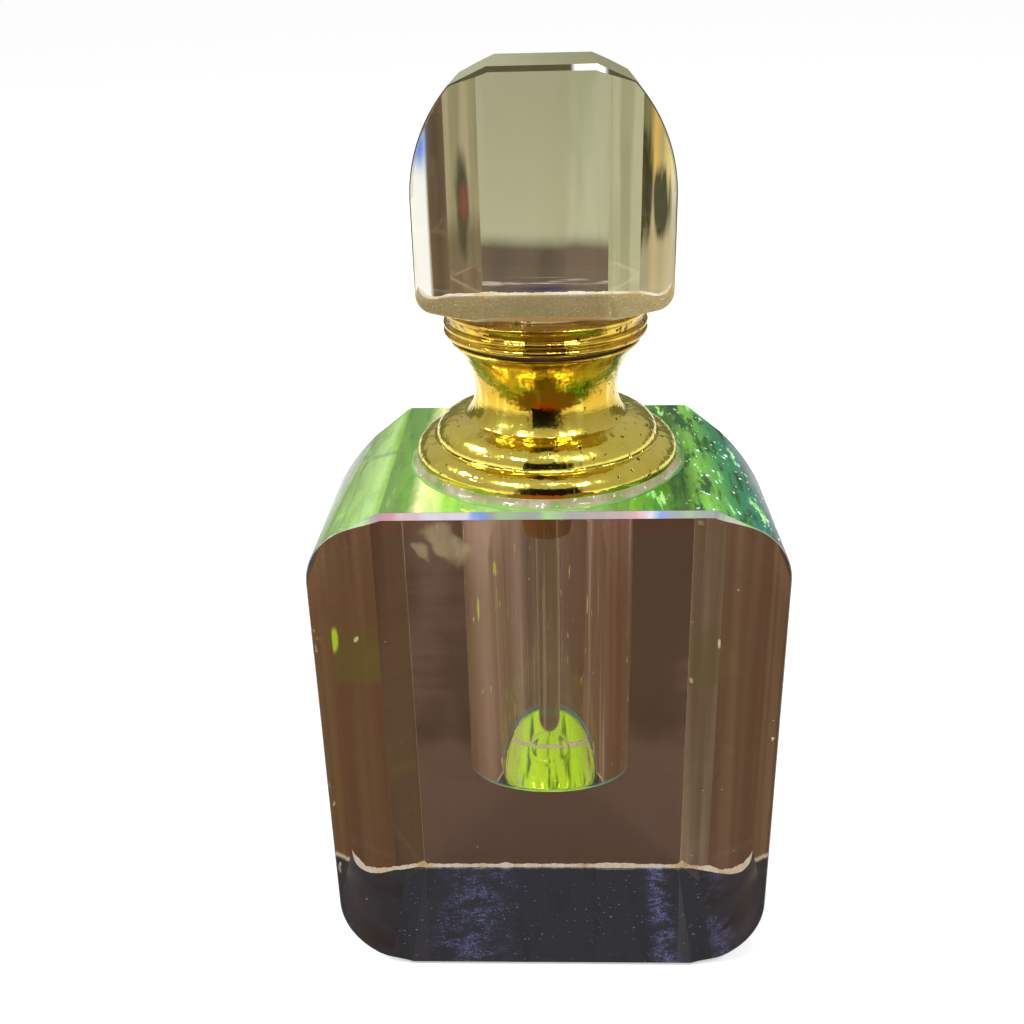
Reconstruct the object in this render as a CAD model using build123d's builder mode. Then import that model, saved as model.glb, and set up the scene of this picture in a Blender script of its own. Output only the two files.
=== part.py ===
from build123d import *
from math import cos, radians, sin, tan
import os

# A cut crystal scent bottle with a screwed stopper and a glass dipper rod, in millimetres.
# +Z is up, the flat front faces -Y, and the origin is the middle of the underside.

# Crystal block
body_width = 50.0
body_depth = 32.0
body_height = 60.3
body_crown_inset = 8.1
body_shoulder_slope = 23.6
body_shoulder_radius = 6.6
body_foot_radius = 9.5
body_back_inset = 7.6
body_back_facet_depth = 4.8
body_side_inset = 4.2
body_side_facet_depth = 14.8
body_bevel = 0.6
bore_radius = 9.4
bore_floor = 22.8

# Glue under and round the neck's flange
cement_thickness = 0.7
cement_bead_width = 1.0
cement_bead_rise = 0.3

# Turned metal neck
flange_radius = 14.4
flange_edge = 0.5
lower_step_width = 2.0
lower_step_rise = 1.7
step_ledge = 0.2
upper_step_width = 3.3
upper_step_rise = 2.2
waist_radius = 7.75
waist_height = 7.5
lip_radius = 10.2
neck_height = 13.3
neck_spigot_radius = 9.0
neck_spigot_depth = 1.5
throat_radius = 6.5
throat_depth = 6.4
neck_hole_radius = 5.2

# Glass dipper rod
rod_radius = 2.0
rod_tip_height = 25.5

# Soft sleeve in the neck, which wipes the rod
insert_rim_thickness = 1.2
insert_rim_clearance = 0.1
insert_wipe_clearance = 0.3
insert_funnel_radius = 3.6
insert_funnel_depth = 1.6
insert_tip_radius = 4.0
insert_reach = 7.3

# Sealing washer
washer_thickness = 0.5
washer_radius = 9.9
washer_clearance = 0.45

# Metal ring under the stopper, with its screw spigot
cap_radius = 10.9
cap_height = 2.8
cap_groove_depth = 0.35
cap_bead_height = 0.7
cap_groove_height = 0.15
cap_rim_height = 0.3
cap_plate = 0.8
screw_clearance = 0.35
screw_end_clearance = 0.4
screw_wall = 1.35

# Plug that holds the rod in the cap ring
plug_recess = 0.4
plug_roof = 1.0

# Glue under the stopper
stopper_cement_thickness = 0.3
stopper_cement_radius = 8.3

# Crystal stopper
stopper_width = 25.6
stopper_depth = 17.2
stopper_height = 24.0
stopper_crown_inset = 7.7
stopper_shoulder_slope = 23.4
stopper_shoulder_radius = 15.4
stopper_shoulder_turn = 42.9
stopper_foot_inset = 6.0
stopper_foot_slope = 12.6
stopper_foot_radius = 2.0
stopper_back_inset = 6.0
stopper_back_facet_depth = 4.4
stopper_side_inset = 2.8
stopper_side_facet_depth = 11.6
stopper_bevel = 0.5

# Widths and heights worked out from the sizes above
body_crown_width = body_width - 2 * body_crown_inset
stopper_crown_width = stopper_width - 2 * stopper_crown_inset
stopper_foot_width = stopper_width - 2 * stopper_foot_inset
flange_base = body_height + cement_thickness
neck_top = flange_base + neck_height
throat_floor = neck_top - throat_depth
spigot_end = body_height - neck_spigot_depth
cap_base = neck_top + washer_thickness
cap_top = cap_base + cap_height
plug_top = cap_top - cap_plate
screw_radius = throat_radius - screw_clearance
screw_end = throat_floor + insert_rim_thickness + screw_end_clearance
plug_radius = screw_radius - screw_wall
plug_base = screw_end + plug_recess
rod_top = plug_top - plug_roof
stopper_base = cap_top + stopper_cement_thickness


def plan_outline(width, depth, back_inset, back_facet_depth, side_inset, side_facet_depth):
    """Plan of a block, right half and mirror: a square front and two slanting facets on each back side."""
    with BuildLine() as outline:
        Polyline(
            (0, -depth / 2),
            (width / 2, -depth / 2),
            (width / 2, depth / 2 - side_facet_depth),
            (width / 2 - side_inset, depth / 2 - back_facet_depth),
            (width / 2 - back_inset, depth / 2),
            (0, depth / 2),
        )
        mirror(about=Plane.YZ)
    return outline.line


def corner_drop(width, flat_width, slope, radius):
    """End of the sloping facet that runs tangent into the corner's arc, as x and as its fall."""
    facet_end = width / 2 - radius + radius * sin(radians(slope))
    facet_fall = (facet_end - flat_width / 2) * tan(radians(slope))
    return facet_end, facet_fall


# Crystal body: the front outline pulled through the depth, cut to the plan with slanting back facets
crown_end, crown_fall = corner_drop(body_width, body_crown_width, body_shoulder_slope, body_shoulder_radius)
foot_end, foot_fall = corner_drop(body_width, body_crown_width, body_shoulder_slope, body_foot_radius)
with BuildPart() as crystal_body:
    with BuildSketch(Plane.XZ):
        with BuildLine():
            crown = Line((0, body_height), (body_crown_width / 2, body_height))
            shoulder = Line(crown @ 1, (crown_end, body_height - crown_fall))
            crown_arc_drop = crown_fall + body_shoulder_radius * cos(radians(body_shoulder_slope))
            arc_end = (body_width / 2, body_height - crown_arc_drop)
            upper_arc = TangentArc(shoulder @ 1, arc_end, tangent=shoulder % 1)
            foot_level = foot_fall + body_foot_radius * cos(radians(body_shoulder_slope))
            side = Line(upper_arc @ 1, (body_width / 2, foot_level))
            lower_arc = TangentArc(side @ 1, (foot_end, foot_fall), tangent=side % 1)
            foot = Line(lower_arc @ 1, (body_crown_width / 2, 0))
            Line(foot @ 1, (0, 0))
            mirror(about=Plane.YZ)
        make_face()
    extrude(amount=body_depth / 2, both=True)
    with BuildSketch(Plane.XY):
        with BuildLine():
            add(
                plan_outline(
                    body_width,
                    body_depth,
                    body_back_inset,
                    body_back_facet_depth,
                    body_side_inset,
                    body_side_facet_depth,
                )
            )
        make_face()
    extrude(amount=body_height, mode=Mode.INTERSECT)
    chamfer(crystal_body.edges().filter_by(Axis.X).group_by(Axis.Y)[0], length=body_bevel)
    with BuildSketch(Plane.XY.offset(bore_floor)):
        Circle(bore_radius)
    extrude(amount=body_height - bore_floor, mode=Mode.SUBTRACT)
crystal_body.part.label = "crystal_body"

# Collar cement: a layer under the flange, a skin round its spigot and a bead round its edge
with BuildPart() as collar_cement:
    with BuildSketch(Plane.XZ):
        with BuildLine():
            bead = Line((bore_radius, body_height), (flange_radius + cement_bead_width, body_height))
            bead_top = flange_base + cement_bead_rise
            curve = TangentArc(bead @ 1, (flange_radius, bead_top), tangent=(0, 1))
            Polyline(
                curve @ 1,
                (flange_radius, flange_base),
                (neck_spigot_radius, flange_base),
                (neck_spigot_radius, spigot_end),
                (bore_radius, spigot_end),
                bead @ 0,
            )
        make_face()
    revolve(axis=Axis.Z)
collar_cement.part.label = "collar_cement"

# Neck collar: stepped flange, waist and flared lip outside, a throat with a ledge inside
with BuildPart() as neck_collar:
    with BuildSketch(Plane.XZ):
        with BuildLine():
            lower_level = flange_base + flange_edge
            edge = Line((flange_radius, flange_base), (flange_radius, lower_level))
            EllipticalCenterArc(
                (flange_radius - lower_step_width, lower_level), lower_step_width, lower_step_rise, arc_size=90
            )
            ledge_radius = flange_radius - lower_step_width - step_ledge
            upper_level = lower_level + lower_step_rise + step_ledge
            Polyline(
                (flange_radius - lower_step_width, upper_level - step_ledge),
                (ledge_radius, upper_level - step_ledge),
                (ledge_radius, upper_level),
            )
            EllipticalCenterArc(
                (ledge_radius - upper_step_width, upper_level), upper_step_width, upper_step_rise, arc_size=90
            )
            waist = (waist_radius, flange_base + waist_height)
            TangentArc(waist, (ledge_radius - upper_step_width, upper_level + upper_step_rise), tangent=(0, -1))
            lip = TangentArc(waist, (lip_radius, neck_top), tangent=(0, 1))
            Polyline(
                lip @ 1,
                (throat_radius, neck_top),
                (throat_radius, throat_floor),
                (neck_hole_radius, throat_floor),
                (neck_hole_radius, spigot_end),
                (neck_spigot_radius, spigot_end),
                (neck_spigot_radius, flange_base),
                edge @ 0,
            )
        make_face()
    revolve(axis=Axis.Z)
neck_collar.part.label = "neck_collar"

# Neck insert: rim on the throat's ledge, sleeve through the neck, tapered tip round the rod
insert_hole_radius = rod_radius + insert_wipe_clearance
insert_top = throat_floor + insert_rim_thickness
with BuildPart() as neck_insert:
    with BuildSketch(Plane.XZ):
        with BuildLine():
            Polyline(
                (insert_hole_radius, insert_top - insert_funnel_depth),
                (insert_funnel_radius, insert_top),
                (throat_radius - insert_rim_clearance, insert_top),
                (throat_radius - insert_rim_clearance, throat_floor),
                (neck_hole_radius, throat_floor),
                (neck_hole_radius, spigot_end),
                (insert_tip_radius, body_height - insert_reach),
                (insert_hole_radius, body_height - insert_reach),
                close=True,
            )
        make_face()
    revolve(axis=Axis.Z)
neck_insert.part.label = "neck_insert"

# Sealing washer: flat ring between the neck's mouth and the cap ring
with BuildPart() as sealing_washer:
    with BuildSketch(Plane.XY.offset(neck_top)):
        Circle(washer_radius)
        Circle(screw_radius + washer_clearance, mode=Mode.SUBTRACT)
    extrude(amount=washer_thickness)
sealing_washer.part.label = "sealing_washer"

# Cap ring: two beads and a hollow moulding outside, a blind screw spigot below
groove_radius = cap_radius - cap_groove_depth
with BuildPart() as cap_ring:
    with BuildSketch(Plane.XZ):
        with BuildLine():
            upper_bead_base = cap_base + cap_bead_height + cap_groove_height
            upper_bead_top = upper_bead_base + cap_bead_height
            for bead_base in (cap_base, upper_bead_base):
                ThreePointArc(
                    (groove_radius, bead_base),
                    (cap_radius, bead_base + cap_bead_height / 2),
                    (groove_radius, bead_base + cap_bead_height),
                )
            Line((groove_radius, cap_base + cap_bead_height), (groove_radius, upper_bead_base))
            moulding = TangentArc(
                (groove_radius, upper_bead_top), (cap_radius, cap_top - cap_rim_height), tangent=(0, 1)
            )
            Polyline(
                moulding @ 1,
                (cap_radius, cap_top),
                (0, cap_top),
                (0, plug_top),
                (plug_radius, plug_top),
                (plug_radius, screw_end),
                (screw_radius, screw_end),
                (screw_radius, cap_base),
                (groove_radius, cap_base),
            )
        make_face()
    revolve(axis=Axis.Z)
cap_ring.part.label = "cap_ring"

# Rod plug: fills the spigot and holds the rod's upper end
with BuildPart() as rod_plug:
    with BuildSketch(Plane.XY.offset(plug_base)):
        Circle(plug_radius)
    extrude(amount=plug_top - plug_base)
    with BuildSketch(Plane.XY.offset(plug_base)):
        Circle(rod_radius)
    extrude(amount=rod_top - plug_base, mode=Mode.SUBTRACT)
rod_plug.part.label = "rod_plug"

# Dipper rod: a plain glass rod with a round lower end
with BuildPart() as dipper_rod:
    with BuildSketch(Plane.XZ):
        with BuildLine():
            tip = JernArc((0, rod_tip_height), (1, 0), rod_radius, 90)
            Polyline(tip @ 1, (rod_radius, rod_top), (0, rod_top), (0, rod_tip_height))
        make_face()
    revolve(axis=Axis.Z)
dipper_rod.part.label = "dipper_rod"

# Stopper cement: thin disc between the cap ring and the stopper
with BuildPart() as stopper_cement:
    with BuildSketch(Plane.XY.offset(cap_top)):
        Circle(stopper_cement_radius)
    extrude(amount=stopper_cement_thickness)
stopper_cement.part.label = "stopper_cement"

# Crystal stopper: like the body, with long shoulder arcs that meet their facets at a crease
stopper_top = stopper_base + stopper_height
arc_centre = stopper_width / 2 - stopper_shoulder_radius
arc_start = arc_centre + stopper_shoulder_radius * cos(radians(stopper_shoulder_turn))
arc_fall = (arc_start - stopper_crown_width / 2) * tan(radians(stopper_shoulder_slope))
arc_level = stopper_top - arc_fall - stopper_shoulder_radius * sin(radians(stopper_shoulder_turn))
foot_facet_end, foot_facet_rise = corner_drop(
    stopper_width, stopper_foot_width, stopper_foot_slope, stopper_foot_radius
)
with BuildPart() as crystal_stopper:
    with BuildSketch(Plane.XZ):
        with BuildLine():
            top_flat = Line((0, stopper_top), (stopper_crown_width / 2, stopper_top))
            top_facet = Line(top_flat @ 1, (arc_start, stopper_top - arc_fall))
            long_arc = TangentArc((stopper_width / 2, arc_level), top_facet @ 1, tangent=(0, 1))
            foot_arc_level = foot_facet_rise + stopper_foot_radius * cos(radians(stopper_foot_slope))
            wall = Line(long_arc @ 0, (stopper_width / 2, stopper_base + foot_arc_level))
            foot_arc = TangentArc(wall @ 1, (foot_facet_end, stopper_base + foot_facet_rise), tangent=wall % 1)
            foot_facet = Line(foot_arc @ 1, (stopper_foot_width / 2, stopper_base))
            Line(foot_facet @ 1, (0, stopper_base))
            mirror(about=Plane.YZ)
        make_face()
    extrude(amount=stopper_depth / 2, both=True)
    with BuildSketch(Plane.XY.offset(stopper_base)):
        with BuildLine():
            add(
                plan_outline(
                    stopper_width,
                    stopper_depth,
                    stopper_back_inset,
                    stopper_back_facet_depth,
                    stopper_side_inset,
                    stopper_side_facet_depth,
                )
            )
        make_face()
    extrude(amount=stopper_height, mode=Mode.INTERSECT)
    chamfer(crystal_stopper.edges().filter_by(Axis.X).group_by(Axis.Y)[0], length=stopper_bevel)
crystal_stopper.part.label = "crystal_stopper"

os.makedirs("parts", exist_ok=True)
export_step(crystal_body.part, "parts/crystal_body.step")
export_step(collar_cement.part, "parts/collar_cement.step")
export_step(neck_collar.part, "parts/neck_collar.step")
export_step(neck_insert.part, "parts/neck_insert.step")
export_step(sealing_washer.part, "parts/sealing_washer.step")
export_step(cap_ring.part, "parts/cap_ring.step")
export_step(rod_plug.part, "parts/rod_plug.step")
export_step(dipper_rod.part, "parts/dipper_rod.step")
export_step(stopper_cement.part, "parts/stopper_cement.step")
export_step(crystal_stopper.part, "parts/crystal_stopper.step")
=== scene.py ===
import math

import bmesh
import bpy
import numpy as np
from mathutils import Matrix, Vector
from mathutils.geometry import tessellate_polygon


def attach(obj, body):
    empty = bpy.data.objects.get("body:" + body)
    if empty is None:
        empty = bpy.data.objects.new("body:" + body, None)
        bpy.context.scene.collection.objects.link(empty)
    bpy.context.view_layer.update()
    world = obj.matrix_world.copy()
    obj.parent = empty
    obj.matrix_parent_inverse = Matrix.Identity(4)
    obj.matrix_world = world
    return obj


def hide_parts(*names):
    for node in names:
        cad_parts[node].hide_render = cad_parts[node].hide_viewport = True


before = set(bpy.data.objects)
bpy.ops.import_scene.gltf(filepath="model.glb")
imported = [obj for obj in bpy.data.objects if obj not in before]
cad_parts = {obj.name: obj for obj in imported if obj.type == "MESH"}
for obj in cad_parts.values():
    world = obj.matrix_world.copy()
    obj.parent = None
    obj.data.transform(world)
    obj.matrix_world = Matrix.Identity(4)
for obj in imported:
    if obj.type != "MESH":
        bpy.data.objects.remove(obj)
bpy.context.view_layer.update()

# Sizes are in millimetres here, and become metres where a mesh is made. Points closer than MERGE are merged.
MM = 0.001
MERGE = 0.0001

# The two cut blocks, as in the part's source. Slopes and turns are in degrees. crown and foot are the widths
# of the level top and underside, back is that of the back plane, and crease the width between the creases of
# the slanting back facets, which come forward by back_facet there and by side_facet at the sides. Each chip
# has its place along x, its size and its reach.
BODY = dict(
    width=50.0, depth=32.0, base=0.0, height=60.3, crown=33.8, slope=23.6, radius=6.6, turn=66.4,
    foot=33.8, foot_slope=23.6, foot_radius=9.5, back=34.8, crease=41.6, back_facet=4.8, side_facet=14.8,
    bevel=0.6, ground=0.4,
    chips=((-17.5, 0.7, 0.5), (-6.2, 0.6, 0.4), (8.5, 0.5, 2.5), (17.7, 0.9, 0.4), (21.0, 0.6, 0.5)))
STOPPER = dict(
    width=25.6, depth=17.2, base=77.9, height=24.0, crown=10.2, slope=23.4, radius=15.4, turn=42.9,
    foot=13.6, foot_slope=12.6, foot_radius=2.0, back=13.6, crease=20.0, back_facet=4.4, side_facet=11.6,
    bevel=0.5, ground=0.22, chips=((-6.0, 0.6, 1.5), (3.0, 0.4, 0.8)))

# The front bevel's width at a block's sides, how far its back is set in, and its polished edges
SIDE_BEVEL = 0.12
BACK_INSET = 0.01
EDGE_WIDTH = 0.06
EDGE_DEGREES = 12

# The drilled bore, and the faint ring that the drill has left on its floor
BORE_RADIUS = 9.4
BORE_FLOOR = 22.8
FLOOR_ROUNDING = 0.8
RING_RADIUS, RING_HEIGHT, RING_REACH = 3.4, 0.12, 0.5
BORE_COLUMNS = 144

# The gilt neck, turned, from its foot up
NECK_FOOT = 58.8
NECK_SPIGOT = 9.0
FLANGE_BASE = 61.0
FLANGE_RADIUS = 14.4
ROUND_BASE = 61.5
ROUND_CENTRE = 12.4
STEP_TOP = 63.2
STEP_RADIUS = 12.2
COVE_BASE = (8.9, 65.6)
WAIST = (7.75, 68.5)
LIP_BASE = (10.2, 74.0)
NECK_TOP = 74.3
THROAT = 6.5
LEDGE = 67.9
LEDGE_HOLE = 5.2

# The gilt cap ring and its screw spigot, from the spigot's end up, and the thread
SPIGOT_END = 69.5
SPIGOT_RADIUS = 6.15
SPIGOT_BORE = 4.8
CAP_BASE = 74.8
CAP_BEAD = 0.35
BEAD_CENTRE = 10.55
BLIND_TOP = 76.8
CAP_RIM = (10.9, 77.3)
CAP_TOP = 77.6
THREAD_PITCH = 2.0
THREAD_FADE = 0.5

# Glue under and round the flange, and under the stopper
GLUE_HOLE = 9.1
GLUE_TOP = 60.95
GLUE_BASE = 60.31
GLUE_EDGE = 15.38
DISC_LOW, DISC_HIGH = 77.62, 77.88
DISC_RADIUS = 8.15

# The dipper rod
ROD_RADIUS = 2.0
ROD_TIP_CENTRE = 27.5
ROD_TOP = 75.8

# Indices of refraction, of which the bore's is set for how wide the rod looks in it, and the specular
# level of a veil
IOR = 1.52
BORE_IOR = 1.46
DULL = 0.12

# Node outputs, and the colour mix's sockets, that are reached by number
OBJECT_PLACE = 3
BACKFACING = 6
FACING = 1
CAMERA_RAY, GLOSSY_RAY, BENT_RAY = 0, 3, 6
MIX_SHARE, MIX_FIRST, MIX_SECOND, MIX_RESULT = 0, 6, 7, 2


# Mesh making

def new_object(name, data):
    """A new object of the scene that holds this mesh, lamp or camera."""
    made = bpy.data.objects.new(name, data)
    bpy.context.scene.collection.objects.link(made)
    return made


def grid_faces(rows, columns, closed_rows=False):
    """Quads of a grid whose columns close on themselves: each joins a point and the next one round to the
    same two in the row above. The corner numbers are worked out as whole arrays."""
    last = rows if closed_rows else rows - 1
    row, column = np.meshgrid(np.arange(last), np.arange(columns), indexing="ij")
    below = row * columns
    above = ((row + 1) % rows) * columns
    beside = (column + 1) % columns
    return np.stack([below + column, below + beside, above + beside, above + column], axis=-1).reshape(-1, 4)


def make_piece(name, points, faces, slots=None, smooth=None):
    """A mesh object from points in millimetres and faces, with its faces turned outwards. Every face is
    smooth where smooth isn't given."""
    mesh = bpy.data.meshes.new(name)
    mesh.from_pydata((np.asarray(points, float) * MM).tolist(), [], [list(map(int, face)) for face in faces])
    if slots is not None:
        mesh.polygons.foreach_set("material_index", np.asarray(slots, np.int32))
    if smooth is None:
        smooth = np.ones(len(mesh.polygons), bool)
    mesh.polygons.foreach_set("use_smooth", np.asarray(smooth, bool))
    work = bmesh.new()
    work.from_mesh(mesh)
    bmesh.ops.remove_doubles(work, verts=work.verts, dist=MERGE * MM)
    bmesh.ops.recalc_face_normals(work, faces=work.faces)
    work.to_mesh(mesh)
    work.free()
    return new_object(name, mesh)


def round_corners(path, radii):
    """A path of radius and height whose corners are replaced by arcs of the given radii: points on the
    circle that touches both runs, from one touching point to the other."""
    path = np.asarray(path, float)
    steps = 5
    made = []
    for i, radius in enumerate(radii):
        here = path[i]
        if radius <= 0:
            made.append(here[None])
            continue
        back = path[i - 1] - here
        on = path[(i + 1) % len(path)] - here
        back_length, on_length = np.hypot(*back), np.hypot(*on)
        back, on = back / back_length, on / on_length
        half = math.acos(np.clip(back @ on, -1, 1)) / 2
        reach = min(radius / math.tan(half), 0.45 * back_length, 0.45 * on_length)
        radius = reach * math.tan(half)
        middle = (back + on) / np.hypot(*(back + on)) * (radius / math.sin(half)) + here
        first = here + back * reach - middle
        last = here + on * reach - middle
        share = np.linspace(0, 1, steps)[:, None]
        arc = first * (1 - share) + last * share
        made.append(middle + arc / np.hypot(arc[:, 0], arc[:, 1])[:, None] * radius)
    return np.concatenate(made)


def ellipse(centre, half_width, half_height, start, end, steps):
    """Points on an ellipse from one angle to another, in degrees: the centre plus the half sizes times
    cosine and sine."""
    angle = np.radians(np.linspace(start, end, steps))
    across, up = half_width * np.cos(angle), half_height * np.sin(angle)
    return np.stack([centre[0] + across, centre[1] + up], axis=1)


def waist_arc(waist, end, steps):
    """Arc that leaves the waist point upright and reaches the end: its centre lies level with the waist,
    where both points are equally far from it."""
    across, up = end[0] - waist[0], end[1] - waist[1]
    radius = (across ** 2 + up ** 2) / (2 * across)
    turn = math.degrees(math.atan2(up, across - radius))
    start = 180.0 if up > 0 else -180.0
    return ellipse((waist[0] + radius, waist[1]), radius, radius, start, turn, steps)


def waves(value, sines):
    """A sum of sines of a value, each with its strength, its rate and its shift."""
    return sum(strength * np.sin(rate * value + shift) for strength, rate, shift in sines)


def carried_round(profile, columns, radial=None):
    """Points of a profile carried round the axis: a point at radius r and height z goes to r cos a, r sin
    a, z for each angle a. radial, where given, is a function of angle, height and radius that is added to
    r."""
    profile = np.asarray(profile, float)
    angle = np.linspace(0, 2 * math.pi, columns, endpoint=False)
    radius, height = profile[:, :1], profile[:, 1:]
    if radial is not None:
        radius = radius + radial(angle[None, :], height, radius)
    points = np.stack([radius * np.cos(angle), radius * np.sin(angle), height + 0 * angle], axis=-1)
    return points.reshape(-1, 3)


def turned(name, profile, columns, radial=None):
    """A turned piece: a closed profile carried round the axis."""
    return make_piece(name, carried_round(profile, columns, radial), grid_faces(len(profile), columns, True))


# Shader making

class Socket:
    """A node's output inside an expression: an operator on it adds the Math node that works it out."""

    def __init__(self, tree, socket):
        self.tree = tree
        self.socket = socket

    def math(self, operation, *values):
        """The output of a new Math node."""
        return self.tree.add("ShaderNodeMath", {"operation": operation}, dict(enumerate(values)))[0]

    def larger(self, other):
        """The larger of two values."""
        return self.math("MAXIMUM", self, other)

    def fraction(self):
        """What a value has past its whole number."""
        return self.math("FRACT", self)

    def __abs__(self):
        return self.math("ABSOLUTE", self)

    def __add__(self, other):
        return self.math("ADD", self, other)

    def __radd__(self, other):
        return self.math("ADD", other, self)

    def __sub__(self, other):
        return self.math("SUBTRACT", self, other)

    def __rsub__(self, other):
        return self.math("SUBTRACT", other, self)

    def __mul__(self, other):
        return self.math("MULTIPLY", self, other)

    def __rmul__(self, other):
        return self.math("MULTIPLY", other, self)

    def __truediv__(self, other):
        return self.math("DIVIDE", self, other)

    def __pow__(self, other):
        return self.math("POWER", self, other)


class Tree:
    """The node tree of a material or world; add() makes each of its nodes."""

    def __init__(self, owner):
        owner.use_nodes = True
        self.owner = owner
        self.nodes = owner.node_tree.nodes
        self.links = owner.node_tree.links
        self.nodes.clear()

    def add(self, kind, settings=None, sockets=None):
        """Adds a node: its settings first, such as an operation or a ramp's stops, then its sockets' values
        or links."""
        node = self.nodes.new(kind)
        for key, value in (settings or {}).items():
            if key == "stops":
                ramp = node.color_ramp.elements
                while len(ramp) < len(value):
                    ramp.new(0.5)
                for element, (position, colour) in zip(ramp, value):
                    element.position = position
                    element.color = tuple(colour) + (1.0,)
            else:
                setattr(node, key, value)
        for key, value in (sockets or {}).items():
            if isinstance(value, Socket):
                self.links.new(value.socket, node.inputs[key])
            else:
                node.inputs[key].default_value = value
        return [Socket(self, out) for out in node.outputs]

    def ramp(self, value, stops):
        """The colour for a value between the ramp's stops."""
        return self.add("ShaderNodeValToRGB", {"stops": stops}, {"Fac": value})[0]

    def spread(self, value, low, high, to_low=0.0, to_high=1.0):
        """A value moved from one range to another in a smooth step, and held inside it."""
        return self.add("ShaderNodeMapRange", {"interpolation_type": "SMOOTHSTEP"}, {
            "Value": value, "From Min": low, "From Max": high, "To Min": to_low, "To Max": to_high})[0]

    def place(self, scale):
        """Object coordinates times a scale for each axis."""
        coordinates = self.add("ShaderNodeTexCoord")[OBJECT_PLACE]
        return self.add("ShaderNodeVectorMath", {"operation": "MULTIPLY"}, {0: coordinates, 1: scale})[0]

    def axes(self):
        """The place along x, y and z in millimetres."""
        return self.add("ShaderNodeSeparateXYZ", None, {0: self.place((1 / MM, 1 / MM, 1 / MM))})

    def near(self, value, centre, reach):
        """1 where a value is at the centre, falling smoothly to 0 at the reach from it."""
        return self.spread(abs(value - centre), reach, 0.0)

    def to_right(self, across):
        """0 left of the middle, 1 right of it."""
        return self.spread(across, -2.0, 2.0)

    def noise(self, scale, detail, stretch=(1, 1, 1), roughness=0.5):
        """Noise of about 0 to 1 over the piece, scale in bumps to a metre."""
        return self.add("ShaderNodeTexNoise", None, {
            "Vector": self.place(stretch), "Scale": scale, "Detail": detail, "Roughness": roughness})[0]

    def spots(self, scale, detail, low, high, stretch=(1, 1, 1), roughness=0.5):
        """Noise spread between 0 and 1 from its low to its high value."""
        return self.spread(self.noise(scale, detail, stretch, roughness), low, high)

    def leaving(self):
        """1 where the face is seen from within its piece, 0 where it is seen from outside."""
        return self.add("ShaderNodeNewGeometry")[BACKFACING]

    def facing(self):
        """0 where the surface is seen straight on, 1 at a grazing angle."""
        return self.add("ShaderNodeLayerWeight", None, {"Blend": 0.5})[FACING]

    def seen(self):
        """1 for the camera's rays and for mirrored and bent ones, and 1 for the mirrored ones alone."""
        path = self.add("ShaderNodeLightPath")
        return path[CAMERA_RAY].larger(path[GLOSSY_RAY]).larger(path[BENT_RAY]), path[GLOSSY_RAY]

    def mix(self, share, first, second):
        """A colour between two colours."""
        return self.add("ShaderNodeMix", {"data_type": "RGBA"}, {
            MIX_SHARE: share, MIX_FIRST: first, MIX_SECOND: second})[MIX_RESULT]

    def layered(self, colour, *layers):
        """A colour with others laid over it in turn, each with its mask first."""
        for mask, tint in layers:
            colour = self.mix(mask, colour, rgb(*tint))
        return colour

    def within(self, colour):
        """A glow that is seen from within the piece alone."""
        return self.mix(self.leaving(), rgb(0, 0, 0), colour)

    def bump(self, height, strength, distance):
        """A normal from a height."""
        sockets = {"Height": height, "Strength": strength, "Distance": distance}
        return self.add("ShaderNodeBump", None, sockets)[0]

    def surface(self, **sockets):
        """A Principled surface with these sockets, joined to the output."""
        names = {key.replace("_", " "): value for key, value in sockets.items()}
        return self.output(self.add("ShaderNodeBsdfPrincipled", None, names)[0])

    def clear(self, colour, roughness=0.0):
        """Crystal that lets this colour through, joined to the output."""
        return self.surface(Base_Color=colour, Roughness=roughness, IOR=IOR, Transmission_Weight=1.0)

    def output(self, shader):
        """Joins a shader to the material's output, and gives the material."""
        self.add("ShaderNodeOutputMaterial", None, {"Surface": shader})
        return self.owner


def rgb(red, green, blue):
    """A colour socket's value."""
    return (red, green, blue, 1.0)


def new_tree(name):
    """The empty node tree of a new material."""
    return Tree(bpy.data.materials.new(name))


def measured(name):
    """The empty node tree of a new material, and the place along x, y and z in millimetres."""
    tree = new_tree(name)
    return tree, *tree.axes()


def passing(*shares):
    """The colour that lets this share of red, green and blue through a face: the shader takes the root of
    its colour at each passing, so it is the share squared."""
    return rgb(*(share * share for share in shares))


def crystal(name, share, roughness=0.0):
    """Polished crystal, with the share of light that comes through one face."""
    return new_tree(name).clear(passing(*share), roughness)


def veiled(tree, glass_colour, veil_colour, share, roughness, glow, ior=IOR, outside=1.0):
    """Clear crystal with a veil: a share of the surface shows the veil's colour in place of the crystal.
    Seen from outside the piece, that share is multiplied by the last value."""
    if outside < 1.0:
        share = share * (outside + (1.0 - outside) * tree.leaving())
    glass = tree.add("ShaderNodeBsdfPrincipled", None, {
        "Base Color": glass_colour, "Roughness": 0.0, "IOR": ior, "Transmission Weight": 1.0})[0]
    # The veil glows in its own colour with the strength glow: painted light
    veil = tree.add("ShaderNodeBsdfPrincipled", None, {
        "Base Color": veil_colour, "Roughness": roughness, "Specular IOR Level": DULL,
        "Emission Color": veil_colour, "Emission Strength": glow})[0]
    return tree.output(tree.add("ShaderNodeMixShader", None, {0: share, 1: glass, 2: veil})[0])


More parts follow.
